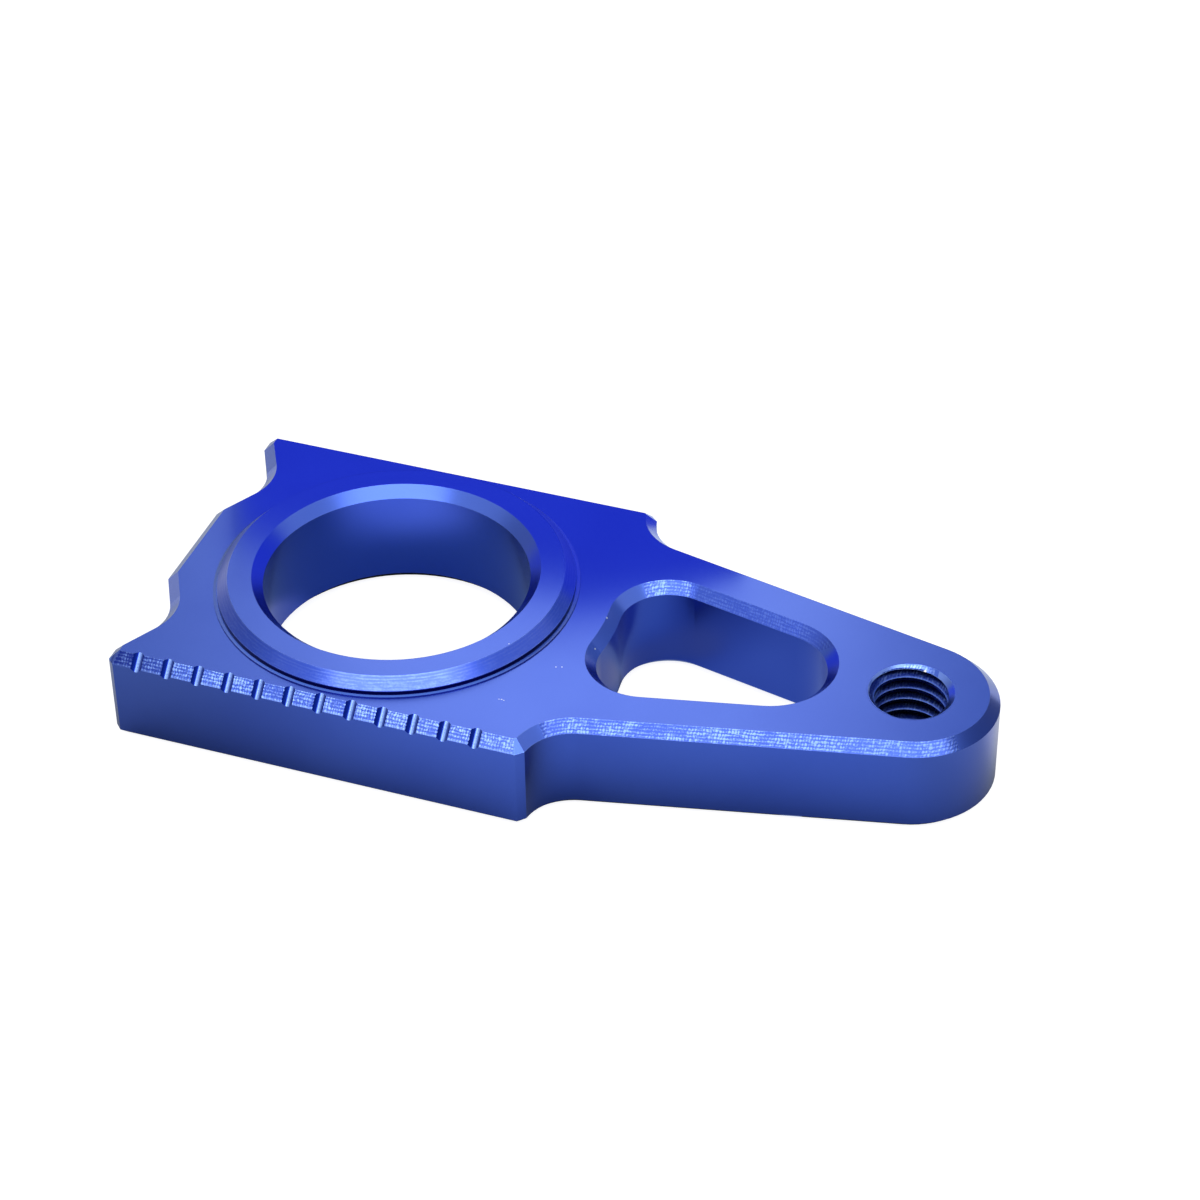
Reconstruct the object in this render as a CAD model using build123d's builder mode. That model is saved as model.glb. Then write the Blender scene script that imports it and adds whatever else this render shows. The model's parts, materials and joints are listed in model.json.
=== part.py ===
from build123d import *
import os
from math import asin, atan2, cos, degrees, floor, hypot, radians, sin, sqrt, tan

# Chain adjuster block for the end of a swingarm, milled from one piece of plate.
# Millimetres. The origin is on the axle bore's axis, on the flat back face. +Z points to the boss side,
# +X runs from the bore to the tapped tip, and the index marks are on the -Y edge.

# Plate
plate_thickness = 9.5
edge_chamfer = 1.0
back_edge_chamfer = 0.75

# Axle bore and its raised boss
axle_bore_diameter = 25.0
bore_chamfer = 1.0
boss_wall = 4.25
boss_height = 1.5
boss_chamfer = 1.0
boss_foot_width = 0.4
boss_foot_height = 0.12

# Flat land left round the boss foot, to each side, to the end face, to the shoulder and to the window
side_land = 1.55
end_land = 3.95
shoulder_land = 2.3
window_land = 4.2

# Adjuster bolt pad in the middle of the end face, with a notch on each side of it
pad_width = 10.9
notch_wall_angle = 28.0
notch_radius = 4.5
tooth_flat = 0.38
corner_flat = 0.1

# Arm, from the shoulders to the tapped tip, and the window through it
shoulder_radius = 4.7
rail_width = 5.5
window_length = 20.4
window_corner_radius = 4.6
tip_wall = 4.0

# Tapped hole, drawn at the thread's major diameter, countersunk on the back
thread_diameter = 8.0
thread_countersink = 0.5

# Index marks, round-bottomed grooves across the chamfer
mark_pitch = 3.0
mark_radius = 0.7
mark_depth = 0.22

# How closely a radius or a place has to agree when edges and corners are picked by it
pick_tolerance = 0.001

# Boss and body, from the bore outwards
bore_radius = axle_bore_diameter / 2
boss_radius = bore_radius + boss_wall
foot_radius = boss_radius + boss_foot_width
boss_top = plate_thickness + boss_height
half_width = foot_radius + side_land
end_x = -(foot_radius + end_land)
shoulder_x = foot_radius + shoulder_land

# Tapped tip
thread_radius = thread_diameter / 2
tip_radius = thread_radius + tip_wall
window_start = foot_radius + window_land
window_end = window_start + window_length
tip_x = window_end + tip_wall + thread_radius

# The arm's side is the line that touches both the shoulder arc and the tip arc
shoulder_centre = (shoulder_x + shoulder_radius, half_width)
centre_run = tip_x - shoulder_centre[0]
centre_line = hypot(centre_run, half_width)
arm_angle = atan2(half_width, centre_run) - asin((shoulder_radius + tip_radius) / centre_line)
arm_angle_degrees = degrees(arm_angle)
arm_line = tip_radius + tip_x * sin(arm_angle)

# The window's sides run parallel to the arm's, and its far end is one round
window_line = arm_line - rail_width
window_side_y = window_line / cos(arm_angle)
window_end_radius = (window_line - window_end * sin(arm_angle)) / (1 - sin(arm_angle))
window_end_centre = window_end - window_end_radius

# Corner flats and teeth keep a little length on both faces once their edges are chamfered
widest_chamfer = max(edge_chamfer, back_edge_chamfer)
corner_inset = widest_chamfer * tan(radians(22.5))
corner_chamfer = (2 * corner_inset + corner_flat) / sqrt(2)
notch_inset = widest_chamfer * tan(radians(90 - notch_wall_angle) / 2)
tooth_y = half_width - corner_chamfer - corner_inset - notch_inset - tooth_flat
notch_root_y = (pad_width / 2 + tooth_y) / 2
notch_root_x = end_x + (tooth_y - notch_root_y) * tan(radians(notch_wall_angle))
shoulder_start = degrees(asin(corner_chamfer / shoulder_radius))

# Index marks start one pitch from the end face and stop a pitch or more before the shoulder
mark_count = floor((shoulder_x - end_x) / mark_pitch) - 1
mark_positions = [end_x + mark_pitch * (number + 1) for number in range(mark_count)]
mark_height = mark_radius - mark_depth
mark_run = edge_chamfer + mark_radius

with BuildSketch() as outline:
    with BuildLine() as half_outline:
        end_profile = Polyline(
            (end_x, 0),
            (end_x, pad_width / 2),
            (notch_root_x, notch_root_y),
            (end_x, tooth_y),
            (end_x, half_width - corner_chamfer),
            (end_x + corner_chamfer, half_width),
            (shoulder_x - corner_chamfer, half_width),
        )
        shoulder_arc = CenterArc(
            shoulder_centre, shoulder_radius, 180 + shoulder_start, 90 - arm_angle_degrees - shoulder_start
        )
        tip_arc = CenterArc((tip_x, 0), tip_radius, 0, 90 - arm_angle_degrees)
        Line(end_profile @ 1, shoulder_arc @ 0)
        Line(shoulder_arc @ 1, tip_arc @ 1)
        mirror(about=Plane.XZ)
    make_face()
    notch_roots = outline.vertices().filter_by_position(
        Axis.X, notch_root_x - pick_tolerance, notch_root_x + pick_tolerance
    )
    fillet(notch_roots, radius=notch_radius)

with BuildSketch() as window:
    with BuildLine() as window_outline:
        window_end_arc = CenterArc(
            (window_end_centre, 0), window_end_radius, arm_angle_degrees - 90, 180 - 2 * arm_angle_degrees
        )
        Polyline(window_end_arc @ 1, (0, window_side_y), (0, -window_side_y), window_end_arc @ 0)
    make_face()
    Circle(window_start, mode=Mode.SUBTRACT)
    fillet(window.vertices().group_by(Axis.X)[0], radius=window_corner_radius)


def rims(part, radius):
    """The part's circular edges of one radius, lowest first."""
    circles = part.edges().filter_by(GeomType.CIRCLE)
    return circles.filter_by(lambda edge: abs(edge.radius - radius) < pick_tolerance).sort_by(Axis.Z)


with BuildPart() as adjuster_block:
    # Plate with its window, chamfered round both faces
    with BuildSketch() as plate_profile:
        add(outline.sketch)
        add(window.sketch, mode=Mode.SUBTRACT)
    extrude(amount=plate_thickness)
    back_face = adjuster_block.faces().sort_by(Axis.Z)[0]
    chamfer(back_face.edges(), length=back_edge_chamfer)
    front_face = adjuster_block.faces().sort_by(Axis.Z)[-1]
    chamfer(front_face.edges(), length=edge_chamfer)

    # Boss with a low foot round it
    with BuildSketch(Plane.XY.offset(plate_thickness)):
        Circle(boss_radius)
    extrude(amount=boss_height)
    chamfer(rims(adjuster_block, boss_radius)[-1], length=boss_chamfer)
    with BuildSketch(Plane.XY.offset(plate_thickness)):
        Circle(foot_radius)
    extrude(amount=boss_foot_height)

    # Axle bore, chamfered at both mouths
    with BuildSketch():
        Circle(bore_radius)
    extrude(amount=boss_top, mode=Mode.SUBTRACT)
    chamfer(rims(adjuster_block, bore_radius), length=bore_chamfer)

    # Tapped hole at the tip
    with BuildSketch():
        with Locations((tip_x, 0)):
            Circle(thread_radius)
    extrude(amount=plate_thickness, mode=Mode.SUBTRACT)
    chamfer(rims(adjuster_block, thread_radius)[0], length=thread_countersink)

    # Index marks, which run down the slope of the -Y chamfer
    slope_middle = (0, -half_width + edge_chamfer / 2, plate_thickness - edge_chamfer / 2)
    with BuildSketch(Plane(origin=slope_middle, x_dir=(1, 0, 0), z_dir=(0, -1, -1))):
        with Locations(*[(x, mark_height) for x in mark_positions]):
            Circle(mark_radius)
    extrude(amount=mark_run, both=True, mode=Mode.SUBTRACT)

adjuster_block.part.label = "adjuster_block"

os.makedirs("parts", exist_ok=True)
export_step(adjuster_block.part, "parts/adjuster_block.step")

print(f"length {tip_x + tip_radius - end_x:.2f}, width {2 * half_width:.2f}, height {boss_top:.2f} mm")
print(f"arm angle {arm_angle_degrees:.2f} degrees, window end radius {window_end_radius:.2f} mm")
print(f"index marks {mark_count}, first at {mark_positions[0]:.2f}, last at {mark_positions[-1]:.2f} mm")
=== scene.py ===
import json
from math import cos, pi, radians, sin

import bpy
from mathutils import Matrix, Vector


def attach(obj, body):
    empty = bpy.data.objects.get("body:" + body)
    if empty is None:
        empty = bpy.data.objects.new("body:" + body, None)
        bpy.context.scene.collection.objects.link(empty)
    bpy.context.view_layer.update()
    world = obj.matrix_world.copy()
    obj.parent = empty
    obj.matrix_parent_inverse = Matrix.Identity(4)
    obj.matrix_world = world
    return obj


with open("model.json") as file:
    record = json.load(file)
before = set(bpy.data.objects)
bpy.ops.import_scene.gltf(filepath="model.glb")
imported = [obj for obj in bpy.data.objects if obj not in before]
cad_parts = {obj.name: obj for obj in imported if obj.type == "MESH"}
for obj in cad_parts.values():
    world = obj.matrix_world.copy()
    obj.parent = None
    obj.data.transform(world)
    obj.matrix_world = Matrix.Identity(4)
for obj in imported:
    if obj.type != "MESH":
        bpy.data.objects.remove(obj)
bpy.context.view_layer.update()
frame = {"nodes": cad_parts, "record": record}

mm = 0.001
block = frame["nodes"]["adjuster_block"]
mounts = {mount["name"]: mount for mount in frame["record"]["mounts"]}
boreRadius = mounts["axle_bore"]["dims"]["r_mm"]
bossTop = mounts["boss_face"]["pos_m"][2] / mm
tipX = mounts["stand_thread"]["pos_m"][0] / mm
plateTop = 2 * mounts["adjuster_pad"]["pos_m"][2] / mm  # the pad's middle is half way up the plate
slopeLength = 2 ** 0.5  # of a 45 degree chamfer, for each millimetre down
black, white = (0, 0, 0, 1), (1, 1, 1, 1)


# short ways to build node trees
def addNode(tree, kind, **settings):
    node = tree.nodes.new(kind)
    for name, value in settings.items():
        setattr(node, name, value)
    return node


def feed(tree, socket, value):
    if isinstance(value, bpy.types.NodeSocket):
        tree.links.new(value, socket)
    elif value is not None:
        socket.default_value = value


def calc(tree, operation, *values, clamp=False):
    node = addNode(tree, "ShaderNodeMath", operation=operation, use_clamp=clamp)
    for socket, value in zip(node.inputs, values):
        feed(tree, socket, value)
    return node.outputs[0]


def product(tree, *values):
    total = values[0]
    for value in values[1:]:
        total = calc(tree, "MULTIPLY", total, value)
    return total


def largest(tree, *values):
    total = values[0]
    for value in values[1:]:
        total = calc(tree, "MAXIMUM", total, value)
    return total


def minus(tree, value, taken):
    return calc(tree, "SUBTRACT", value, taken)


def opposite(tree, value):
    return minus(tree, 1.0, value)


def absolute(tree, value):
    return calc(tree, "ABSOLUTE", value)


def ramp(tree, value, slope, base, clamp=False):
    # slope times value, plus base
    return calc(tree, "MULTIPLY_ADD", value, slope, base, clamp=clamp)


def fade(tree, value, start, end, low=0.0, high=1.0):
    # eases from low at start to high at end
    node = addNode(tree, "ShaderNodeMapRange", interpolation_type="SMOOTHSTEP")
    for socket, item in zip(node.inputs, (value, start, end, low, high)):
        feed(tree, socket, item)
    return node.outputs[0]


def below(tree, value, limit):
    return calc(tree, "LESS_THAN", value, limit)


def above(tree, value, limit):
    return calc(tree, "GREATER_THAN", value, limit)


def between(tree, value, low, high):
    return product(tree, above(tree, value, low), below(tree, value, high))


def blendColour(tree, amount, first, second):
    node = addNode(tree, "ShaderNodeMix", data_type="RGBA")
    feed(tree, node.inputs["Factor"], amount)
    feed(tree, node.inputs[6], first)
    feed(tree, node.inputs[7], second)
    return node.outputs[2]


def noise(tree, place, scale, detail=1.0):
    node = tree.nodes.new("ShaderNodeTexNoise")
    feed(tree, node.inputs["Vector"], place)
    feed(tree, node.inputs["Scale"], scale)
    feed(tree, node.inputs["Detail"], detail)
    return node.outputs["Fac"]


def evenNoise(tree, place, scale, detail):
    # as much under zero as over it
    return minus(tree, noise(tree, place, scale, detail), 0.5)


def wave(tree, distance, pitch, shift=0.0):
    # ripples of a pitch along a distance, from -1 to 1
    return calc(tree, "SINE", ramp(tree, distance, 2 * pi / pitch, shift))


def joinVector(tree, *values):
    node = tree.nodes.new("ShaderNodeCombineXYZ")
    for socket, value in zip(node.inputs, values):
        feed(tree, socket, value)
    return node.outputs[0]


def splitVector(tree, vector):
    node = tree.nodes.new("ShaderNodeSeparateXYZ")
    feed(tree, node.inputs[0], vector)
    return node.outputs


def distanceTo(tree, place, point):
    node = addNode(tree, "ShaderNodeVectorMath", operation="DISTANCE")
    feed(tree, node.inputs[0], place)
    node.inputs[1].default_value = point
    return node.outputs["Value"]


def newGroup(name, inputs, outputs):
    tree = bpy.data.node_groups.new(name, "ShaderNodeTree")
    for label, kind, value in inputs:
        socket = tree.interface.new_socket(name=label, in_out="INPUT", socket_type="NodeSocket" + kind)
        if value is not None:
            socket.default_value = value
    for label, kind in outputs:
        tree.interface.new_socket(name=label, in_out="OUTPUT", socket_type="NodeSocket" + kind)
    return tree, tree.nodes.new("NodeGroupInput").outputs, tree.nodes.new("NodeGroupOutput").inputs


def placeGroup(tree, group, **values):
    node = addNode(tree, "ShaderNodeGroup", node_tree=group)
    for name, value in values.items():
        feed(tree, node.inputs[name], value)
    return node.outputs


def newMaterial(name):
    material = bpy.data.materials.new(name)
    material.use_nodes = True
    tree = material.node_tree
    tree.nodes.clear()
    return material, tree


def showSurface(tree, shader, kind="Material"):
    output = tree.nodes.new("ShaderNodeOutput" + kind)
    feed(tree, output.inputs["Surface"], shader.outputs[0])


def addMeshPiece(name, points, faces):
    mesh = bpy.data.meshes.new(name)
    mesh.from_pydata(points, [], faces)
    piece = bpy.data.objects.new(name, mesh)
    bpy.context.scene.collection.objects.link(piece)
    return piece


# where on the part a point lies, in millimetres, and which way the surface faces
def makePlaceGroup():
    tree, _, out = newGroup("partPlace", [], [
        ("Place", "Vector"), ("X", "Float"), ("Y", "Float"), ("Z", "Float"),
        ("Bore Radius", "Float"), ("Thread Radius", "Float"),
        ("Facing X", "Float"), ("Facing Y", "Float"), ("Facing Z", "Float")])
    coords = tree.nodes.new("ShaderNodeTexCoord")
    scaled = addNode(tree, "ShaderNodeVectorMath", operation="SCALE")
    feed(tree, scaled.inputs[0], coords.outputs["Object"])
    scaled.inputs["Scale"].default_value = 1 / mm
    place = splitVector(tree, scaled.outputs[0])
    facing = splitVector(tree, coords.outputs["Normal"])
    feed(tree, out["Place"], scaled.outputs[0])
    for axis in "XYZ":
        feed(tree, out[axis], place[axis])
        feed(tree, out["Facing " + axis], facing[axis])
    flat = joinVector(tree, place["X"], place["Y"], 0.0)
    feed(tree, out["Bore Radius"], distanceTo(tree, flat, (0, 0, 0)))
    feed(tree, out["Thread Radius"], distanceTo(tree, flat, (tipX, 0, 0)))
    return tree


# what etching before the dye leaves: a fine satin grain, a slow drift in the colour, a few pale specks
etching = {
    "grainScale": 9.0,
    "grainDetail": 3.0,
    "grainHeight": 0.0005,
    "driftNoise": (0.09, 2.0),  # scale and detail
    "driftSpan": (0.3, 0.7),
    "speckScale": 0.33,
    "speckSize": 0.022,
    "speckLess": 0.55,  # share of the cells that hold no speck
}


def makeGrainGroup():
    tree, given, out = newGroup("satinGrain", [
        ("Place", "Vector", None), ("Grain", "Float", etching["grainScale"]),
        ("Grain Height", "Float", etching["grainHeight"])],
        [("Height", "Float"), ("Drift", "Float"), ("Speck", "Float")])
    fine = noise(tree, given["Place"], given["Grain"], etching["grainDetail"])
    feed(tree, out["Height"], product(tree, fine, given["Grain Height"]))
    drift = noise(tree, given["Place"], *etching["driftNoise"])
    feed(tree, out["Drift"], fade(tree, drift, *etching["driftSpan"]))
    dots = addNode(tree, "ShaderNodeTexVoronoi", voronoi_dimensions="3D", feature="F1")
    feed(tree, dots.inputs["Vector"], given["Place"])
    dots.inputs["Scale"].default_value = etching["speckScale"]
    chance = tree.nodes.new("ShaderNodeSeparateColor")
    feed(tree, chance.inputs[0], dots.outputs["Color"])
    near = below(tree, dots.outputs["Distance"], product(tree, chance.outputs[1], etching["speckSize"]))
    feed(tree, out["Speck"], product(tree, near, above(tree, chance.outputs[0], etching["speckLess"])))
    return tree


# how close a point is to a sharp edge, and whether the edge turns to the back
edgeFinding = {
    "samples": 6,
    "agreement": (0.995, 0.93),  # of the rounded normal with the face's, off the edge and on it
    "backwards": (0.06, 0.25),
}


def makeEdgeGroup():
    tree, given, out = newGroup("edgeLine", [("Width", "Float", 0.1)],
                                [("Edge", "Float"), ("To Back", "Float")])
    rounded = addNode(tree, "ShaderNodeBevel", samples=edgeFinding["samples"])
    feed(tree, rounded.inputs["Radius"], product(tree, given["Width"], mm))
    geometry = tree.nodes.new("ShaderNodeNewGeometry")
    agreement = addNode(tree, "ShaderNodeVectorMath", operation="DOT_PRODUCT")
    feed(tree, agreement.inputs[0], rounded.outputs["Normal"])
    feed(tree, agreement.inputs[1], geometry.outputs["Normal"])
    feed(tree, out["Edge"], fade(tree, agreement.outputs["Value"], *edgeFinding["agreement"]))
    turned = splitVector(tree, rounded.outputs["Normal"])
    feed(tree, out["To Back"], fade(tree, turned["Y"], *edgeFinding["backwards"]))
    return tree


# chatter that a cutter leaves: short dashes across its path, in rows along it
cutting = {
    "swayNoise": (1.4, 2.0),  # scale and detail
    "sway": 1.7,
    "rowSway": 0.3,
    "dashPitch": 0.27,
    "rowPitch": 0.31,
    "dashWave": (0.5, 0.5),
    "rowWave": (0.4, 0.6),
    "cellShift": 0.25,
    "luckPower": 2.0,
    "luck": (1.9, 0.25),
    "patchScale": 0.6,
    "patchSpan": (0.36, 0.6, 0.3, 1.15),
    "speckNoise": (7.0, 2.0),
    "streakStretch": (1.3, 7.5),  # along the edge and down it
    "streakNoise": (1.0, 2.0),
    "streakSpan": (0.50, 0.68),
    "rippleHeight": 0.0040,
    "rowHeight": 0.0022,
    "speckHeight": 0.010,
    "dashGlint": 0.85,
    "streakGlint": 0.50,
    "rowGlint": 0.14,
    "speckGlint": 1.2,
    "plainGlint": 0.12,
}


def makeChatterGroup():
    tree, given, out = newGroup("cutterChatter", [
        ("Place", "Vector", None), ("Along", "Float", 0.0), ("Down", "Float", 0.0),
        ("Ripples", "Float", 1.0), ("Rows", "Float", 1.0)],
        [("Height", "Float"), ("Glint", "Float")])
    sway = product(tree, noise(tree, given["Place"], *cutting["swayNoise"]), cutting["sway"])
    across = ramp(tree, given["Along"], 1 / cutting["dashPitch"], sway)
    rows = ramp(tree, given["Down"], 1 / cutting["rowPitch"], product(tree, sway, cutting["rowSway"]))
    ripple, row = wave(tree, across, 1.0), wave(tree, rows, 1.0)
    # each dash is a little brighter or duller than the next
    column, line = [calc(tree, "FLOOR", calc(tree, "ADD", turns, cutting["cellShift"]))
                    for turns in (across, rows)]
    chance = addNode(tree, "ShaderNodeTexWhiteNoise", noise_dimensions="2D")
    feed(tree, chance.inputs["Vector"], joinVector(tree, column, line, 0.0))
    luck = calc(tree, "POWER", chance.outputs["Value"], cutting["luckPower"])
    luck = ramp(tree, luck, *cutting["luck"])
    patch = fade(tree, noise(tree, given["Place"], cutting["patchScale"]), *cutting["patchSpan"])
    speck = evenNoise(tree, given["Place"], *cutting["speckNoise"])
    dash = product(tree, ramp(tree, ripple, *cutting["dashWave"]), ramp(tree, row, *cutting["rowWave"]))
    dash = product(tree, dash, luck, patch, given["Ripples"])
    # thin streaks run along the edge between the dashes
    alongStretch, downStretch = cutting["streakStretch"]
    stretched = joinVector(tree, product(tree, given["Along"], alongStretch),
                           product(tree, given["Down"], downStretch), 0.0)
    streak = fade(tree, noise(tree, stretched, *cutting["streakNoise"]), *cutting["streakSpan"])
    streak = product(tree, streak, patch, given["Rows"])
    row = product(tree, row, given["Rows"])
    height = product(tree, ripple, patch, given["Ripples"], cutting["rippleHeight"])
    height = ramp(tree, row, cutting["rowHeight"], height)
    feed(tree, out["Height"], ramp(tree, speck, cutting["speckHeight"], height))
    glint = ramp(tree, dash, cutting["dashGlint"], product(tree, streak, cutting["streakGlint"]))
    glint = ramp(tree, row, cutting["rowGlint"], glint)
    glint = calc(tree, "ADD", glint, cutting["plainGlint"])
    feed(tree, out["Glint"], ramp(tree, speck, cutting["speckGlint"], glint, clamp=True))
    return tree


placeOn = makePlaceGroup()
grainOf = makeGrainGroup()
edgeOf = makeEdgeGroup()
chatterOf = makeChatterGroup()

anodising = {
    "dye": (0.028, 0.094, 0.55, 1),
    "paleDye": (0.038, 0.110, 0.58, 1),
    "strongDye": (0.010, 0.062, 0.55, 1),
    # the next colour paints shade; the one after it paints black shade low on the boss's wall; the pale
    # one paints wear mixed with painted highlights
    "paintedShadeBlue": (0.003, 0.012, 0.17, 1),
    "paintedBlackShade": (0.0003, 0.001, 0.07, 1),
    "wearAndHighlight": (0.24, 0.40, 0.92, 1),
    "bare": (0.85, 0.86, 0.88, 1),
    "sealRoughness": 0.235,
    "sealIndex": 1.5,
}


def anodisedShader(tree):
    shader = tree.nodes.new("ShaderNodeBsdfPrincipled")
    shader.inputs["Metallic"].default_value = 1.0
    shader.inputs["Coat Weight"].default_value = 1.0
    shader.inputs["Coat Roughness"].default_value = anodising["sealRoughness"]
    shader.inputs["Coat IOR"].default_value = anodising["sealIndex"]
    showSurface(tree, shader)
    return shader


def bumpBy(tree, shader, height):
    # height is in millimetres
    bump = tree.nodes.new("ShaderNodeBump")
    bump.inputs["Strength"].default_value = 1.0
    bump.inputs["Distance"].default_value = mm
    feed(tree, bump.inputs["Height"], height)
    feed(tree, shader.inputs["Normal"], bump.outputs["Normal"])


# the block's milled and turned faces: lengths in millimetres, facings as a part of the surface's normal,
# pairs as from and to, or as a slope and a base, and fours as from and to with a low and a high end
milling = {
    "roughness": 0.26,
    "workedRoughness": 0.06,
    "edgeWidth": 0.09,
    "chamferFacing": (0.6, 0.9),
    "flatFacing": 0.9,
    "nearFacing": -0.1,
    "upperDepth": 1.1,
    # the marked edge, whose chatter and its painted glints grow from the left end, where a painted shade
    # darkens it
    "frontEdgeY": -17.6,  # inner side of its chamfer
    "frontEdgeEnd": 18.6,
    "straightFacing": 0.03,
    "shadedEnd": -20.5,
    "brightStart": -9.0,
    "frontGrowth": (0.7, 0.3),
    "frontEase": (12.0, 17.5, 1.0, 0.7),
    "leftShade": 0.95,
    # painted highlight low on the marked edge's chamfer, and painted shade in a gap above it
    "lowLine": 1.34,  # a bright line low on the chamfer, and a gap above it
    "gapLine": 1.17,
    "lineEase": (0.08, 0.03),
    "lowShine": (0.5, 0.4),
    "gapShade": (-0.7, 1.0),
    # the arm's chatter starts sharply on the shoulder's arc and stops on the tip's
    "armSideY": -2.0,
    "armStart": (19.77, -15.05),
    "armStartAlong": (0.643, 0.766),
    "armEnd": (55.31, -5.02),
    "armEndAlong": (0.669, 0.743),
    "armEase": (38.0, 52.0, 1.0, 0.7),
    "armShare": 0.49,
    # the window's far side is chattered at its left end and finely milled from there on
    "windowSideY": 4.0,
    "windowRadius": 18.0,
    "windowStart": (21.65, 7.5),
    "windowStartAlong": (0.80, 0.60),
    "windowEnd": 26.2,
    "windowShare": 0.45,
    "fineShare": 0.14,
    # how the chatter shows: pale wear and painted glints on its dashes, painted shade between them
    "chatterPaleShare": 1.15,
    "strongShare": 0.45,
    "fineStrong": 0.8,
    "dashes": (1.35, -0.20),
    "valleyReach": 1.8,
    "valleyDepth": (-0.32, 0.5),  # less of it on the marked edge
    # worn edges with painted highlights, and a painted highlight on the facet at the shoulder's corner
    "edgePale": 0.14,
    "edgeBeads": (0.8, 0.3),
    "edgeEase": (0.6, 1.2, 0.8, 1.25),
    "facetY": -16.0,
    "facetSpan": (15.6, 20.5),
    "facetHighlight": 0.6,
    "holeRadius": 4.3,
    # the boss and its chamfer, whose painted highlights are brightest where it faces the front
    "bossRadius": 16.75,
    "bossRing": (15.6, 16.9),
    "bossDepth": 1.2,
    "bossFrontStart": (-1.72, -1.48),
    "bossFrontEnd": (-0.70, -0.92),
    "bossFrontHighlight": 0.25,
    "bossShare": (0.50, 0.16),
    "faceFacing": 0.95,
    "facePale": 0.025,
    "facePlay": 0.05,
    # turning lines on it
    "turnPitch": 0.29,
    "turnShift": 0.1,
    "turnEase": (1.05, 0.35, 0.2, 1.0),
    "turnHeight": 0.0014,
    "turnGlint": 0.22,
    "streakStretch": (9.0, 4.0),  # round the boss and down it
    "streakNoise": (1.5, 2.0),  # scale and detail
    "streakHeight": 0.004,
    "streakGlint": (1.1, 0.12),
    "hatchNoise": (5.0, 2.0),
    "hatchHeight": 0.007,
    "hatchGlint": 0.7,
    # its wall, with painted black shade low down, and the low step at its foot, with painted shade on its
    # wall and a painted highlight on its top
    "footRadius": 17.15,
    "steepFacing": 0.5,
    "footPlay": 0.01,
    "wallPlay": 0.1,
    "wallBlack": (0.45, 0.37),  # heights over the plate between which the black starts
    "stepPlay": 0.05,
    "stepHeights": (0.05, 0.3),
    "stepFall": -0.45,
    "stepShade": 0.75,
    "stepHighlight": 0.20,
    # index marks, with painted shade on their sides and a painted highlight on their bottoms
    "firstMark": -18.1,
    "markPitch": 3.0,
    "markHalf": 0.56,
    "markY": -17.2,
    "marksEnd": 15.6,
    "markDepth": 1.6,
    "markFacing": (0.3, 0.9),
    "markDarkSide": (-0.11, -0.19, 0.0, 1.0),
    "markShadedSide": (0.30, 0.46, 0.0, 0.45),
    "markMiddle": 0.06,
    "markBright": (0.20, 0.07),
    "markGlint": (0.45, 0.65),
    # where shade is painted the clear coat is taken off, so it stays dark
    "shadeCoatOff": 0.9,
    "valleyCoatOff": 0.8,
    # pale specks, and small bright nicks by where and how wide
    "speckShare": 0.6,
    "nickEdge": 0.5,
    "nicks": [
        ((13.92, -7.06, 10.93), 0.11),
        ((14.06, -7.18, 10.80), 0.10),
        ((14.16, -7.36, 10.66), 0.09),
        ((20.37, 1.26, 9.44), 0.13),
        ((20.67, -2.86, 8.98), 0.11),
        ((20.42, -4.57, 8.93), 0.10),
        ((18.95, -6.89, 9.5), 0.07),
        ((18.44, -7.07, 9.5), 0.07),
        ((15.20, -13.02, 9.5), 0.06),
        ((15.43, -12.96, 9.5), 0.07),
        ((15.66, -13.03, 9.5), 0.06),
    ],
}


def cutPast(tree, at, point, along):
    # 1 past a point, going along a direction in the plane
    dx = product(tree, minus(tree, at["X"], point[0]), along[0])
    dy = product(tree, minus(tree, at["Y"], point[1]), along[1])
    return above(tree, calc(tree, "ADD", dx, dy), 0.0)


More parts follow.
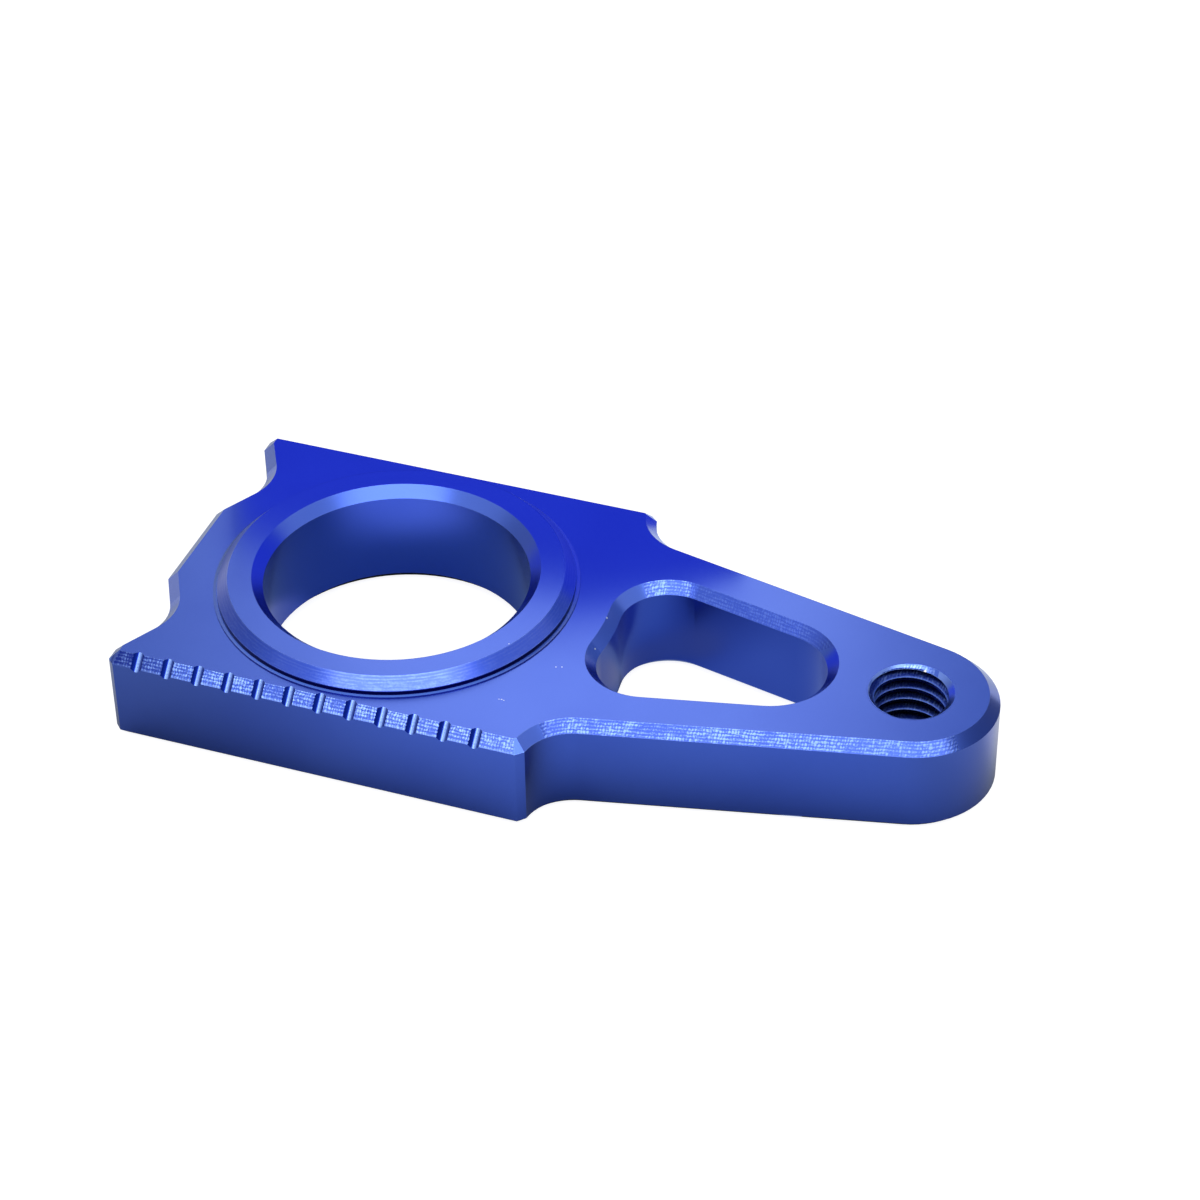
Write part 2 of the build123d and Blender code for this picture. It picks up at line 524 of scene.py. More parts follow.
def chamferParts(tree, at):
    # which chamfer a point is on, and how much chatter there is, which also sets its painted glints; on
    # the marked edge it grows from the left end, which takes painted shade
    chamfer = between(tree, at["Facing Z"], *milling["chamferFacing"])
    upper = product(tree, chamfer, above(tree, at["Z"], plateTop - milling["upperDepth"]))
    straight = below(tree, absolute(tree, at["Facing X"]), milling["straightFacing"])
    edgeFront = product(tree, upper, straight, below(tree, at["Y"], milling["frontEdgeY"]))
    edgeFront = product(tree, edgeFront, below(tree, at["X"], milling["frontEdgeEnd"]))
    growing = fade(tree, at["X"], milling["shadedEnd"], milling["brightStart"])
    front = product(tree, edgeFront, ramp(tree, growing, *milling["frontGrowth"]))
    front = product(tree, front, fade(tree, at["X"], *milling["frontEase"]))

    facingNear = product(tree, upper, below(tree, at["Facing Y"], milling["nearFacing"]))
    arm = product(tree, facingNear, below(tree, at["Y"], milling["armSideY"]))
    arm = product(tree, arm, cutPast(tree, at, milling["armStart"], milling["armStartAlong"]))
    armEnded = cutPast(tree, at, milling["armEnd"], milling["armEndAlong"])
    arm = product(tree, arm, opposite(tree, armEnded), above(tree, at["X"], milling["frontEdgeEnd"]))
    arm = product(tree, arm, fade(tree, at["X"], *milling["armEase"]))

    windowSide = product(tree, facingNear, above(tree, at["Y"], milling["windowSideY"]))
    windowSide = product(tree, windowSide, above(tree, at["Bore Radius"], milling["windowRadius"]))
    window = product(tree, windowSide, below(tree, at["X"], milling["windowEnd"]))
    window = product(tree, window, cutPast(tree, at, milling["windowStart"], milling["windowStartAlong"]))
    fineMilled = product(tree, windowSide, above(tree, at["X"], milling["windowEnd"]))

    boss = product(tree, chamfer, between(tree, at["Bore Radius"], *milling["bossRing"]))
    boss = product(tree, boss, above(tree, at["Z"], bossTop - milling["bossDepth"]))
    chattered = largest(tree, front, product(tree, arm, milling["armShare"]),
                        product(tree, window, milling["windowShare"]),
                        product(tree, fineMilled, milling["fineShare"]))
    return {"upper": upper, "edgeFront": edgeFront, "growing": growing, "front": front,
            "fineMilled": fineMilled, "boss": boss, "chattered": chattered}


def markParts(tree, at, glint):
    # across an index mark: painted shade on one side, a painted highlight on the bottom and lighter
    # painted shade on the other side
    half = milling["markPitch"] / 2
    offset = calc(tree, "WRAP", minus(tree, at["X"], milling["firstMark"]), half, -half)
    inMark = product(tree, below(tree, absolute(tree, offset), milling["markHalf"]),
                     below(tree, at["Y"], milling["markY"]), below(tree, at["X"], milling["marksEnd"]))
    inMark = product(tree, inMark, between(tree, at["Facing Z"], *milling["markFacing"]))
    inMark = product(tree, inMark, above(tree, at["Z"], plateTop - milling["markDepth"]))
    dark = largest(tree, fade(tree, offset, *milling["markDarkSide"]),
                   fade(tree, offset, *milling["markShadedSide"]))
    fromMiddle = absolute(tree, minus(tree, offset, milling["markMiddle"]))
    pale = product(tree, fade(tree, fromMiddle, *milling["markBright"]),
                   ramp(tree, glint, *milling["markGlint"]))
    dark, pale = product(tree, inMark, dark), product(tree, inMark, pale)
    return {"inMark": inMark, "markShade": dark, "markHighlight": pale}


def footParts(tree, at):
    # the boss's wall, painted with black shade low down, and the low step at its foot, whose top falls
    # off outwards, with painted shade on its wall and a painted highlight on its outer top
    steep = product(tree, below(tree, absolute(tree, at["Facing Z"]), milling["steepFacing"]),
                    above(tree, at["Z"], plateTop - milling["footPlay"]))
    radius, play = milling["bossRadius"], milling["wallPlay"]
    clearHeight, blackHeight = milling["wallBlack"]
    bossWall = product(tree, steep, between(tree, at["Bore Radius"], radius - play, radius + play),
                       fade(tree, at["Z"], plateTop + clearHeight, plateTop + blackHeight))
    radius, play = milling["footRadius"], milling["stepPlay"]
    stepWall = product(tree, steep, between(tree, at["Bore Radius"], radius - play, radius + play))
    low, high = milling["stepHeights"]
    onStep = product(tree, above(tree, at["Facing Z"], milling["flatFacing"]),
                     between(tree, at["Z"], plateTop + low, plateTop + high))
    outwards = minus(tree, at["Bore Radius"], milling["bossRadius"] + milling["wallPlay"])
    stepFall = product(tree, onStep, largest(tree, outwards, 0.0), milling["stepFall"])
    stepHighlight = product(tree, onStep, above(tree, outwards, 0.0), milling["stepHighlight"])
    return {"bossWall": bossWall, "stepWall": stepWall, "onStep": onStep,
            "stepFall": stepFall, "stepHighlight": stepHighlight}


def turningLines(tree, at, angle):
    # height and glint of the turning lines round the boss, plainer towards its foot
    down = product(tree, minus(tree, bossTop, at["Z"]), slopeLength)
    roundStretch, downStretch = milling["streakStretch"]
    stretched = joinVector(tree, product(tree, angle, roundStretch),
                           product(tree, down, downStretch), 0.0)
    streak = evenNoise(tree, stretched, *milling["streakNoise"])
    hatch = evenNoise(tree, at["Place"], *milling["hatchNoise"])
    line = product(tree, wave(tree, down, milling["turnPitch"], milling["turnShift"]),
                   fade(tree, down, *milling["turnEase"]))
    height = ramp(tree, line, milling["turnHeight"], product(tree, streak, milling["streakHeight"]))
    height = ramp(tree, hatch, milling["hatchHeight"], height)
    glint = ramp(tree, line, milling["turnGlint"], ramp(tree, streak, *milling["streakGlint"]))
    return height, ramp(tree, hatch, milling["hatchGlint"], glint, clamp=True)


def paleWearAndHighlights(tree, at, on, edge, glint, dashes, bossHighlight):
    # how much pale wear shows, mixed with painted highlights and glints
    down = product(tree, minus(tree, plateTop, at["Z"]), slopeLength)
    pale = largest(tree, product(tree, on["chattered"], dashes, milling["chatterPaleShare"]), bossHighlight)
    lowLine, gapLine = [fade(tree, absolute(tree, minus(tree, down, milling[name])), *milling["lineEase"])
                        for name in ("lowLine", "gapLine")]
    # painted shade in the gap, painted highlight on the low line
    pale = product(tree, pale, ramp(tree, product(tree, on["edgeFront"], gapLine), *milling["gapShade"]))
    lowShine = product(tree, on["front"], lowLine, ramp(tree, glint, *milling["lowShine"]))
    # edges are worn in beads where the faces beside them are worked, with painted highlights along them
    beads = product(tree, ramp(tree, glint, *milling["edgeBeads"]),
                    fade(tree, down, *milling["edgeEase"]))
    edgeShare = ramp(tree, on["worked"], beads, milling["edgePale"])
    facet = product(tree, on["upper"], below(tree, at["Y"], milling["facetY"]),
                    between(tree, at["X"], *milling["facetSpan"]), milling["facetHighlight"])
    offHole = above(tree, at["Thread Radius"], milling["holeRadius"])
    edgePale = product(tree, edge, largest(tree, edgeShare, facet), offHole, opposite(tree, on["inMark"]))
    turnedFace = product(tree, above(tree, at["Facing Z"], milling["faceFacing"]),
                         above(tree, at["Z"], bossTop - milling["facePlay"]), milling["facePale"])
    pale = largest(tree, pale, lowShine, edgePale, on["markHighlight"], on["stepHighlight"], turnedFace)
    return product(tree, pale, opposite(tree, on["rim"]))


def makeBlockMaterial():
    material, tree = newMaterial("blueAnodisedBlock")
    shader = anodisedShader(tree)
    at = placeGroup(tree, placeOn)
    grain = placeGroup(tree, grainOf, Place=at["Place"])
    edges = placeGroup(tree, edgeOf, Width=milling["edgeWidth"])
    chatter = placeGroup(tree, chatterOf, Place=at["Place"], Along=at["X"],
                         Down=product(tree, minus(tree, plateTop, at["Z"]), slopeLength))
    on = chamferParts(tree, at)
    on.update(markParts(tree, at, chatter["Glint"]))
    on.update(footParts(tree, at))
    on["worked"] = largest(tree, on["chattered"], on["boss"])
    # painted shade along edges of flat faces that turn to the back
    on["rim"] = product(tree, edges["To Back"], above(tree, at["Facing Z"], milling["flatFacing"]),
                        opposite(tree, on["onStep"]))

    # the boss's chamfer takes painted highlights along its turning lines, brightest where it faces the
    # front
    angle = calc(tree, "ARCTAN2", at["Y"], at["X"])
    turnedHeight, turnedGlint = turningLines(tree, at, angle)
    frontOfBoss = product(tree, fade(tree, angle, *milling["bossFrontStart"]),
                          fade(tree, angle, *milling["bossFrontEnd"]))
    bossHighlight = product(tree, on["boss"], ramp(tree, frontOfBoss, milling["bossFrontHighlight"], turnedGlint),
                       ramp(tree, frontOfBoss, *milling["bossShare"]))

    # painted shade between the chatter's bright dashes, at the marked edge's left end, on the step's wall
    # and on edges that turn to the back
    dashes = ramp(tree, chatter["Glint"], *milling["dashes"], clamp=True)
    valleyShade = product(tree, calc(tree, "MULTIPLY", on["chattered"], milling["valleyReach"], clamp=True),
                     opposite(tree, dashes), ramp(tree, on["edgeFront"], *milling["valleyDepth"]))
    leftShade = product(tree, on["edgeFront"], opposite(tree, on["growing"]), milling["leftShade"])
    shadeBlend = largest(tree, leftShade, product(tree, on["stepWall"], milling["stepShade"]), on["rim"])
    strong = largest(tree, on["boss"], product(tree, on["fineMilled"], milling["fineStrong"]),
                     product(tree, on["chattered"], milling["strongShare"]))
    pale = paleWearAndHighlights(tree, at, on, edges["Edge"], chatter["Glint"], dashes, bossHighlight)
    spots = product(tree, grain["Speck"], milling["speckShare"])
    for point, width in milling["nicks"]:
        gap = distanceTo(tree, at["Place"], point)
        spots = largest(tree, spots, fade(tree, gap, width, width * milling["nickEdge"]))

    colour = blendColour(tree, grain["Drift"], anodising["dye"], anodising["paleDye"])
    colour = blendColour(tree, strong, colour, anodising["strongDye"])
    colour = blendColour(tree, largest(tree, shadeBlend, on["markShade"], valleyShade), colour, anodising["paintedShadeBlue"])
    # pale wear mixed with painted highlights and glints
    colour = blendColour(tree, pale, colour, anodising["wearAndHighlight"])
    # painted black shade low on the boss's wall
    colour = blendColour(tree, on["bossWall"], colour, anodising["paintedBlackShade"])
    colour = blendColour(tree, spots, colour, anodising["bare"])
    feed(tree, shader.inputs["Base Color"], colour)
    roughness = ramp(tree, on["worked"], milling["workedRoughness"], milling["roughness"])
    feed(tree, shader.inputs["Roughness"], roughness)
    # the clear coat is taken off where shade is painted, so it stays dark
    coatOff = largest(tree, on["bossWall"], on["markShade"], product(tree, shadeBlend, milling["shadeCoatOff"]),
                   product(tree, valleyShade, milling["valleyCoatOff"]))
    feed(tree, shader.inputs["Coat Weight"], opposite(tree, coatOff))
    height = calc(tree, "ADD", grain["Height"], on["stepFall"])
    height = ramp(tree, on["chattered"], chatter["Height"], height)
    bumpBy(tree, shader, ramp(tree, on["boss"], turnedHeight, height))
    return material


block.material_slots[0].material = makeBlockMaterial()
print("blue anodised block dressed")


# tapped hole: a cut M8 thread that lines the plain hole, in millimetres
thread = {
    "pitch": 1.25,
    "rootRadius": 3.96,
    "crestRadius": 3.323,
    "crestRows": 3,  # half the crest's flat, in rows
    "rootRows": 2,
    "rowsPerTurn": 24,
    "spareTurns": 2,  # at each end, flattened into the mouth and the bottom
    "mouthRadius": 3.9,
    "topZ": plateTop - 0.003,
    "crestDown": 0.389,  # from the mouth down to the middle of the crest, on the +X side
    "backConeRadius": 4.5,  # where the back's countersink meets the back face
    "bottomZ": 0.505,
    "coverRadius": 4.03,  # inside the metal
    "columns": 144,
    "sharpAngle": 25,
    # raised lip where the countersink cuts the first turn
    "burrSpan": (85, 150),
    "burrSize": 0.05,
    "burrTail": 0.35,
    "burrBeat": 0.25,
    "burrBeats": (1.9, 0.83),
    # looks
    "roughness": 0.28,
    "edgeWidth": 0.055,
    "ripples": 0.8,
    "rows": 0.3,
    "mouthDepth": 0.6,
    "upFacing": 0.3,
    "coneFacing": (0.68, 0.74),
    "flatFacing": 0.95,
    "steepFacing": 0.3,
    "steepShade": 0.75,
    "rootShade": (3.34, 3.50),
    "crestLimit": 3.42,
    "lipY": 0.5,
    "lipLeft": -1.5,  # from the hole's axis
    "sparkle": (1.3, 0.3),
    "sideX": 1.6,
    "sideHighlight": 0.42,
    "roughY": 2.4,
    "roughX": 1.2,
    "turnGlint": 0.30,
    "spot": (50.04, 3.52, 9.15),
    "spotSpan": (0.16, 0.08),
}


def threadRadius(row):
    # radius at a row counted from the middle of a crest
    turn = thread["rowsPerTurn"]
    away = abs((row + turn / 2) % turn - turn / 2)
    slope = (away - thread["crestRows"]) / (turn / 2 - thread["rootRows"] - thread["crestRows"])
    return thread["crestRadius"] + (thread["rootRadius"] - thread["crestRadius"]) * min(max(slope, 0), 1)


def burrSize(degrees):
    first, last = thread["burrSpan"]
    if not first <= degrees <= last:
        return 0
    fading = 1 - (degrees - first) / (last - first)
    tail, beat, (quick, slow) = thread["burrTail"], thread["burrBeat"], thread["burrBeats"]
    beating = 1 - beat + beat * sin(degrees * quick) * cos(degrees * slow)
    return thread["burrSize"] * (tail + (1 - tail) * fading) * beating


def columnPoints(column):
    # radius and height down one column, from a row below the back's countersink to a row above the mouth
    turn, step = thread["rowsPerTurn"], thread["pitch"] / thread["rowsPerTurn"]
    top, bottom, mouth = thread["topZ"], thread["bottomZ"], thread["mouthRadius"]
    spare = thread["spareTurns"] * turn
    crestZ = top - thread["crestDown"] + thread["pitch"] * column / thread["columns"]
    rows = []
    for row in range(int((bottom - top) / step) - spare, spare):
        z = min(max(crestZ + row * step, bottom), top)
        shape, cone = threadRadius((z - crestZ) / step), mouth - (top - z)
        rows.append([max(shape, cone, thread["backConeRadius"] - z), z, shape - cone])
    # where the countersink cuts the thread the nearest row moves onto the cut
    for low, high in zip(rows, rows[1:]):
        if low[2] * high[2] < 0 and high[1] > low[1]:
            share = low[2] / (low[2] - high[2])
            cut = low if share < 0.5 else high
            cut[1] = low[1] + (high[1] - low[1]) * share
            lip = burrSize(360 * column / thread["columns"]) if low[2] > 0 else 0
            cut[0] = mouth - (top - cut[1]) - lip
            break
    return [(radius, z) for radius, z, _ in rows]


def makeThread():
    columns, cover = thread["columns"], thread["coverRadius"]
    points, faces, known = [], [], {}

    def pointAt(column, radius, z):
        key = (column, round(radius, 5), round(z, 5))
        if key not in known:
            angle = 2 * pi * column / columns
            known[key] = len(points)
            points.append(((tipX + radius * cos(angle)) * mm, radius * sin(angle) * mm, z * mm))
        return known[key]

    def addFace(*corners):
        corners = [corner for i, corner in enumerate(corners) if corner != corners[i - 1]]
        if len(corners) > 2:
            faces.append(corners)

    lines = []
    for column in range(columns):
        inner = [pointAt(column, radius, z) for radius, z in columnPoints(column)]
        low, high = pointAt(column, cover, thread["bottomZ"]), pointAt(column, cover, thread["topZ"])
        lines.append((low, inner, high))
    for column in range(columns):
        after = (column + 1) % columns
        # after a full turn a row joins the row a pitch higher
        shift = 0 if after else thread["rowsPerTurn"]
        low, inner, high = lines[column]
        nextLow, nextInner, nextHigh = lines[after]
        for row in range(len(inner) - shift - 1):
            addFace(inner[row], inner[row + 1], nextInner[row + 1 + shift], nextInner[row + shift])
        addFace(low, inner[0], nextInner[0], nextLow)
        addFace(inner[-1], high, nextHigh, nextInner[-1])
        addFace(high, low, nextLow, nextHigh)
    piece = addMeshPiece("tip_thread", points, faces)
    piece.data.validate()
    piece.data.shade_smooth()
    piece.data.set_sharp_from_angle(angle=radians(thread["sharpAngle"]))
    return piece


def makeThreadMaterial():
    material, tree = newMaterial("blueAnodisedThread")
    shader = anodisedShader(tree)
    at = placeGroup(tree, placeOn)
    grain = placeGroup(tree, grainOf, Place=at["Place"])
    chatter = placeGroup(tree, chatterOf, Place=at["Place"], Along=at["X"], Down=at["Z"],
                         Ripples=thread["ripples"], Rows=thread["rows"])
    edge = placeGroup(tree, edgeOf, Width=thread["edgeWidth"])["Edge"]
    # 45 degree countersink and the flat round it stay dyed, the turns below take a painted shade that
    # deepens inwards and on steep faces
    nearMouth = above(tree, at["Z"], plateTop - thread["mouthDepth"])
    cone = product(tree, nearMouth, between(tree, at["Facing Z"], *thread["coneFacing"]))
    turns = opposite(tree, largest(tree, cone, above(tree, at["Facing Z"], thread["flatFacing"])))
    steep = below(tree, absolute(tree, at["Facing Z"]), thread["steepFacing"])
    dark = largest(tree, fade(tree, at["Thread Radius"], *thread["rootShade"]),
                   product(tree, steep, thread["steepShade"]))
    dark = product(tree, dark, turns)
    colour = blendColour(tree, dark, anodising["dye"], anodising["paintedShadeBlue"])
    feed(tree, shader.inputs["Coat Weight"], opposite(tree, dark))
    # crests and the first turn's raised lip take painted highlights
    crestLine = product(tree, edge, above(tree, at["Facing Z"], thread["upFacing"]),
                        below(tree, at["Thread Radius"], thread["crestLimit"]))
    lip = product(tree, edge, nearMouth, largest(tree, above(tree, at["Y"], thread["lipY"]),
                                                 below(tree, at["X"], tipX + thread["lipLeft"])))
    pale = product(tree, largest(tree, crestLine, lip), ramp(tree, chatter["Glint"], *thread["sparkle"]))
    # the countersink takes a painted highlight at its sides and painted chatter glints at the back
    side = above(tree, absolute(tree, minus(tree, at["X"], tipX)), thread["sideX"])
    behind = product(tree, above(tree, at["Y"], thread["roughY"]),
                     below(tree, at["X"], tipX + thread["roughX"]), chatter["Glint"])
    countersinkHighlight = product(tree, cone, largest(tree, product(tree, side, thread["sideHighlight"]), behind))
    glints = product(tree, chatter["Glint"], turns, thread["turnGlint"])
    colour = blendColour(tree, largest(tree, pale, countersinkHighlight, glints), colour, anodising["wearAndHighlight"])
    spot = fade(tree, distanceTo(tree, at["Place"], thread["spot"]), *thread["spotSpan"])
    colour = blendColour(tree, spot, colour, anodising["bare"])
    feed(tree, shader.inputs["Base Color"], colour)
    shader.inputs["Roughness"].default_value = thread["roughness"]
    bumpBy(tree, shader, ramp(tree, chatter["Height"], turns, grain["Height"]))
    return material


threadPiece = makeThread()
threadPiece.data.materials.append(makeThreadMaterial())
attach(threadPiece, "root")
print("tapped thread cut,", len(threadPiece.data.polygons), "faces")


# studio: white floor, white surroundings, soft boxes and cards, in metres
studio = {
    "middle": (0.014, 0, 0.005),
    "ambient": 0.55,
    "floorSize": 4.0,
    "floorDrop": 0.02,  # in millimetres
    "floorColour": (0.38, 0.38, 0.38, 1),
    "floorGlow": 0.89,
    # painted reflections: what the walls mirror of the paper brightens along x, and changes round the tip
    # and right behind it
    "mirroredSpan": (-0.024, 0.008),
    "mirroredLeft": (0.20, 0.24, 0.27, 1),
    "mirroredRight": (0.46, 0.57, 0.74, 1),
    "tipSpan": (0.046, 0.062),
    "mirroredTip": (0.32, 0.37, 0.41, 1),
    "behindStart": (0.001, 0.007),
    "behindEnd": (0.018, 0.010),
    "mirroredBehind": (0.62, 0.64, 0.66, 1),
    "farSpan": (0.05, 0.15),
    "mirroredFar": (0.82, 0.82, 0.82, 1),
    # close to the part the mirrored paper takes a painted shade, darkening into the corner
    "cornerReach": 0.02,
    "cornerSamples": 8,
    "cornerPower": 2.2,
    # painted reflection seen in the bore, with painted shade darkest at the back and low at the left
    "boreBack": (0.0, 0.01, 0.05, 1),
    "boreFront": (0.66, 0.66, 0.95, 1),
    "boreBackSpan": (0.0, 0.006),
    "boreLeftSpan": (-0.004, -0.009, 0.0, 0.75),
    "boreMirroredPaper": (0.25, 0.36, 0.45, 1),
    # painted reflection seen in the window: x of its middle, then half its length and width
    "windowMiddle": (0.032, 0.0105, 0.0095),
    "windowSpan": (0.0215, 0.031),
    "windowLeft": (0.11, 0.17, 0.36, 1),
    "windowRight": (0.28, 0.37, 0.57, 1),
    "windowPatchPlace": (0.0242, 0.0042, -0.00002),
    "windowPatchSpan": (0.0034, 0.00136),
    "windowPatch": (0.25, 0.27, 0.38, 1),
    "boxPower": 4,  # watts from a square metre at level 1
    "cardDistance": 0.5,
    "cardSteps": 12,
}


def makeWorld():
    world = bpy.data.worlds.new("studio")
    bpy.context.scene.world = world
    world.use_nodes = True
    tree = world.node_tree
    tree.nodes.clear()
    path = tree.nodes.new("ShaderNodeLightPath").outputs
    seen = largest(tree, path["Is Camera Ray"], path["Is Glossy Ray"], path["Is Transmission Ray"])
    background = tree.nodes.new("ShaderNodeBackground")
    grey = (studio["ambient"],) * 3 + (1,)
    feed(tree, background.inputs["Color"], blendColour(tree, seen, grey, white))
    showSurface(tree, background, "World")


def mirroredNear(tree, spot, place, openness):
    # painted reflection of what the part's walls mirror of the paper beside them, with painted shade
    # close to the part
    rightwards = fade(tree, place["X"], *studio["mirroredSpan"])
    near = blendColour(tree, rightwards, studio["mirroredLeft"], studio["mirroredRight"])
    behind = product(tree, fade(tree, place["Y"], *studio["behindStart"]),
                     fade(tree, place["Y"], *studio["behindEnd"]))
    tip = blendColour(tree, behind, studio["mirroredTip"], studio["mirroredBehind"])
    near = blendColour(tree, fade(tree, place["X"], *studio["tipSpan"]), near, tip)
    near = blendColour(tree, openness, black, near)
    middle, halfLength, halfWidth = studio["windowMiddle"]
    inWindow = product(tree, below(tree, absolute(tree, minus(tree, place["X"], middle)), halfLength),
                       below(tree, absolute(tree, place["Y"]), halfWidth))
    rightwards = fade(tree, place["X"], *studio["windowSpan"])
    window = blendColour(tree, rightwards, studio["windowLeft"], studio["windowRight"])
    patch = fade(tree, distanceTo(tree, spot, studio["windowPatchPlace"]), *studio["windowPatchSpan"])
    window = blendColour(tree, patch, window, studio["windowPatch"])
    return blendColour(tree, inWindow, near, window)


def makeFloor():
    size = studio["floorSize"]
    drop = -studio["floorDrop"] * mm
    corners = [(-size, -size, drop), (size, -size, drop), (size, size, drop), (-size, size, drop)]
    floor = addMeshPiece("floor", corners, [(0, 1, 2, 3)])
    material, tree = newMaterial("paperFloor")
    floor.data.materials.append(material)
    path = tree.nodes.new("ShaderNodeLightPath").outputs
    spot = tree.nodes.new("ShaderNodeTexCoord").outputs["Object"]
    place = splitVector(tree, spot)
    away = distanceTo(tree, spot, (0, 0, 0))
    far = fade(tree, away, *studio["farSpan"])
    inBore = below(tree, away, boreRadius * mm)
    corner = addNode(tree, "ShaderNodeAmbientOcclusion", samples=studio["cornerSamples"])
    corner.inputs["Distance"].default_value = studio["cornerReach"]
    openness = calc(tree, "POWER", corner.outputs["AO"], studio["cornerPower"])

    # the metal sees a painted reflection of the paper, with painted shade close to the part; the camera
    # and the lamps see plain paper
    boreShade = largest(tree, fade(tree, place["Y"], *studio["boreBackSpan"]),
                        fade(tree, place["X"], *studio["boreLeftSpan"]))
    bore = blendColour(tree, boreShade, studio["boreFront"], studio["boreBack"])
    mirrored = blendColour(tree, inBore, mirroredNear(tree, spot, place, openness), bore)
    mirrored = blendColour(tree, far, mirrored, studio["mirroredFar"])
    # painted shade on the mirrored paper close to the part
    paper = blendColour(tree, largest(tree, far, openness), black, studio["floorColour"])
    paper = blendColour(tree, inBore, paper, studio["boreMirroredPaper"])
    diffuse = tree.nodes.new("ShaderNodeBsdfDiffuse")
    paper = blendColour(tree, path["Is Glossy Ray"], studio["floorColour"], paper)
    feed(tree, diffuse.inputs["Color"], paper)
    straight = (studio["floorGlow"],) * 3 + (1,)
    glow = tree.nodes.new("ShaderNodeEmission")
    feed(tree, glow.inputs["Color"], blendColour(tree, path["Is Glossy Ray"], straight, mirrored))
    seen = largest(tree, path["Is Camera Ray"], path["Is Transmission Ray"], path["Is Glossy Ray"])
    feed(tree, glow.inputs["Strength"], seen)
    both = tree.nodes.new("ShaderNodeAddShader")
    feed(tree, both.inputs[0], diffuse.outputs[0])
    feed(tree, both.inputs[1], glow.outputs[0])
    showSurface(tree, both)


# heading is degrees clockwise from +Y, seen from above
softBoxes = {
    "backBox": {
        "heading": -21, "elevation": 39, "distance": 0.7, "width": 0.23, "height": 0.30, "level": 0.54,
    },
    "frontBox": {
        "heading": 158, "elevation": 54, "distance": 0.6, "width": 0.79, "height": 0.175, "level": 2.0,
    },
}


def direction(heading, elevation):
    a, e = radians(heading), radians(elevation)
    return Vector((sin(a) * cos(e), cos(a) * cos(e), sin(e)))


def makeSoftBox(name, box):
    lamp = bpy.data.lights.new(name, "AREA")
    lamp.shape = "RECTANGLE"
    lamp.size = box["width"]
    lamp.size_y = box["height"]
    lamp.energy = box["level"] * studio["boxPower"] * box["width"] * box["height"]
    piece = bpy.data.objects.new(name, lamp)
    away = direction(box["heading"], box["elevation"])
    piece.location = Vector(studio["middle"]) + away * box["distance"]
    piece.rotation_euler = away.to_track_quat("Z", "Y").to_euler()
    piece.visible_camera = False
    bpy.context.scene.collection.objects.link(piece)


# glowing cards that only shape what the metal mirrors: painted reflections
curvedCards = {
    "rightCard": {"headings": (-9, 50), "elevations": (5, 62), "colour": (0.28, 0.37, 0.53)},
    "leftCard": {"headings": (-75, -30.5), "elevations": (18, 62), "colour": (0.48, 0.55, 0.66)},
    "frontLeftCard": {"headings": (238, 292), "elevations": (1, 30), "colour": (0.45, 0.48, 0.52)},
    "lowLeftCard": {"headings": (292.5, 322), "elevations": (1, 17.5), "colour": (0.30, 0.36, 0.38)},
}
# small flat glowing cards near the part, seen only in the metal as painted reflections, by their corners
# in millimetres
flatCards = {
    "blueCard": {
        "corners": [(-27, 21, 8.5), (28.7, 21, 8.5), (27.2, 21, 17.5),
                    (14.5, 21, 26), (9, 21, 28), (-27, 21, 31)],
        "colour": (0.10, 0.15, 0.90),
    },
    "tipCard": {
        "corners": [(74, 41, 0.5), (98, -22, 0.5), (98, -22, 48), (74, 41, 14)],
        "colour": (0.20, 0.22, 0.28),
    },
}


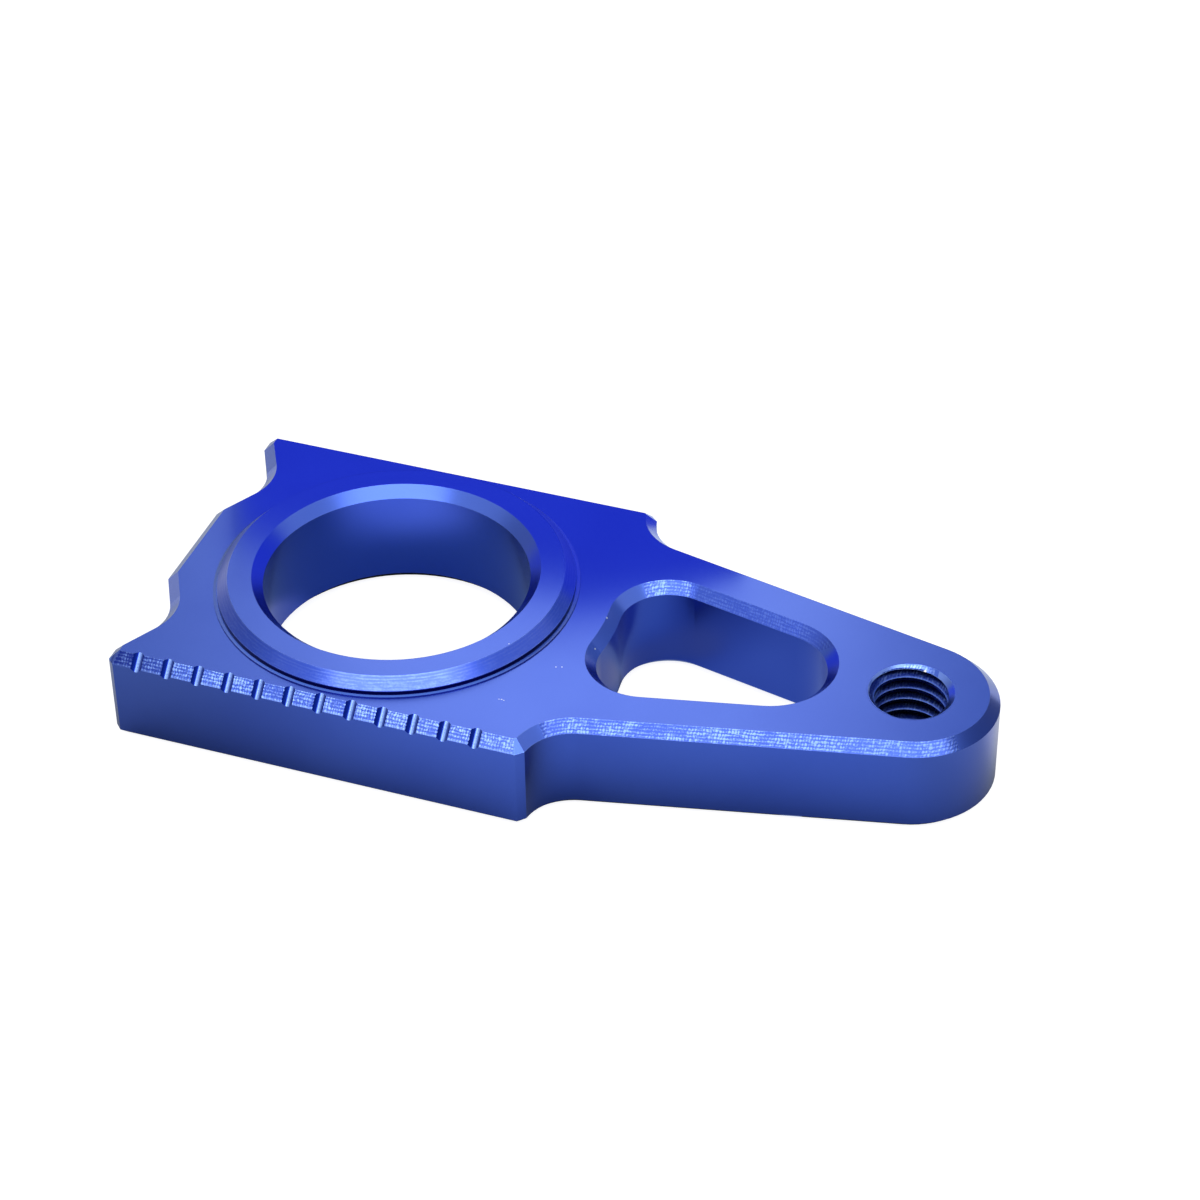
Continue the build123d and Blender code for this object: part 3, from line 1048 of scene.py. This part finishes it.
def addCard(name, points, faces, colour):
    piece = addMeshPiece(name, points, faces)
    material, tree = newMaterial(name)
    piece.data.materials.append(material)
    glow = tree.nodes.new("ShaderNodeEmission")
    glow.inputs["Color"].default_value = colour + (1,)
    showSurface(tree, glow)
    piece.visible_camera = False
    piece.visible_diffuse = False
    piece.visible_transmission = False
    piece.visible_shadow = False


def makeCurvedCard(name, card):
    steps = studio["cardSteps"]
    (left, right), (low, high) = card["headings"], card["elevations"]
    points, faces = [], []
    for i in range(steps + 1):
        for j in range(steps + 1):
            away = direction(left + (right - left) * i / steps, low + (high - low) * j / steps)
            points.append(Vector(studio["middle"]) + away * studio["cardDistance"])
    for i in range(steps):
        for j in range(steps):
            a = i * (steps + 1) + j
            faces.append((a, a + 1, a + steps + 2, a + steps + 1))
    addCard(name, points, faces, card["colour"])


def makeFlatCard(name, card):
    corners = [Vector(corner) * mm for corner in card["corners"]]
    addCard(name, corners, [tuple(range(len(corners)))], card["colour"])


makeWorld()
makeFloor()
for cardName, card in curvedCards.items():
    makeCurvedCard(cardName, card)
for cardName, card in flatCards.items():
    makeFlatCard(cardName, card)
for boxName, box in softBoxes.items():
    makeSoftBox(boxName, box)
print("studio set")


camera = {
    "heading": 20.157,
    "elevation": 37.862,
    "roll": -0.783,
    "lens": 102.415,
    "sensor": 36,
    "clip": (0.01, 20),
    "place": (0.104995, -0.231074, 0.203765),
}


def makeCamera():
    data = bpy.data.cameras.new("camera")
    data.lens = camera["lens"]
    data.sensor_width = camera["sensor"]
    data.clip_start, data.clip_end = camera["clip"]
    piece = bpy.data.objects.new("camera", data)
    turn = Matrix.Rotation(radians(camera["heading"]), 4, "Z")
    turn = turn @ Matrix.Rotation(radians(90 - camera["elevation"]), 4, "X")
    turn = turn @ Matrix.Rotation(radians(camera["roll"]), 4, "Z")
    piece.matrix_world = Matrix.Translation(camera["place"]) @ turn
    bpy.context.scene.collection.objects.link(piece)
    bpy.context.scene.camera = piece


makeCamera()
bpy.context.scene.view_settings.view_transform = "Standard"
print("camera placed")
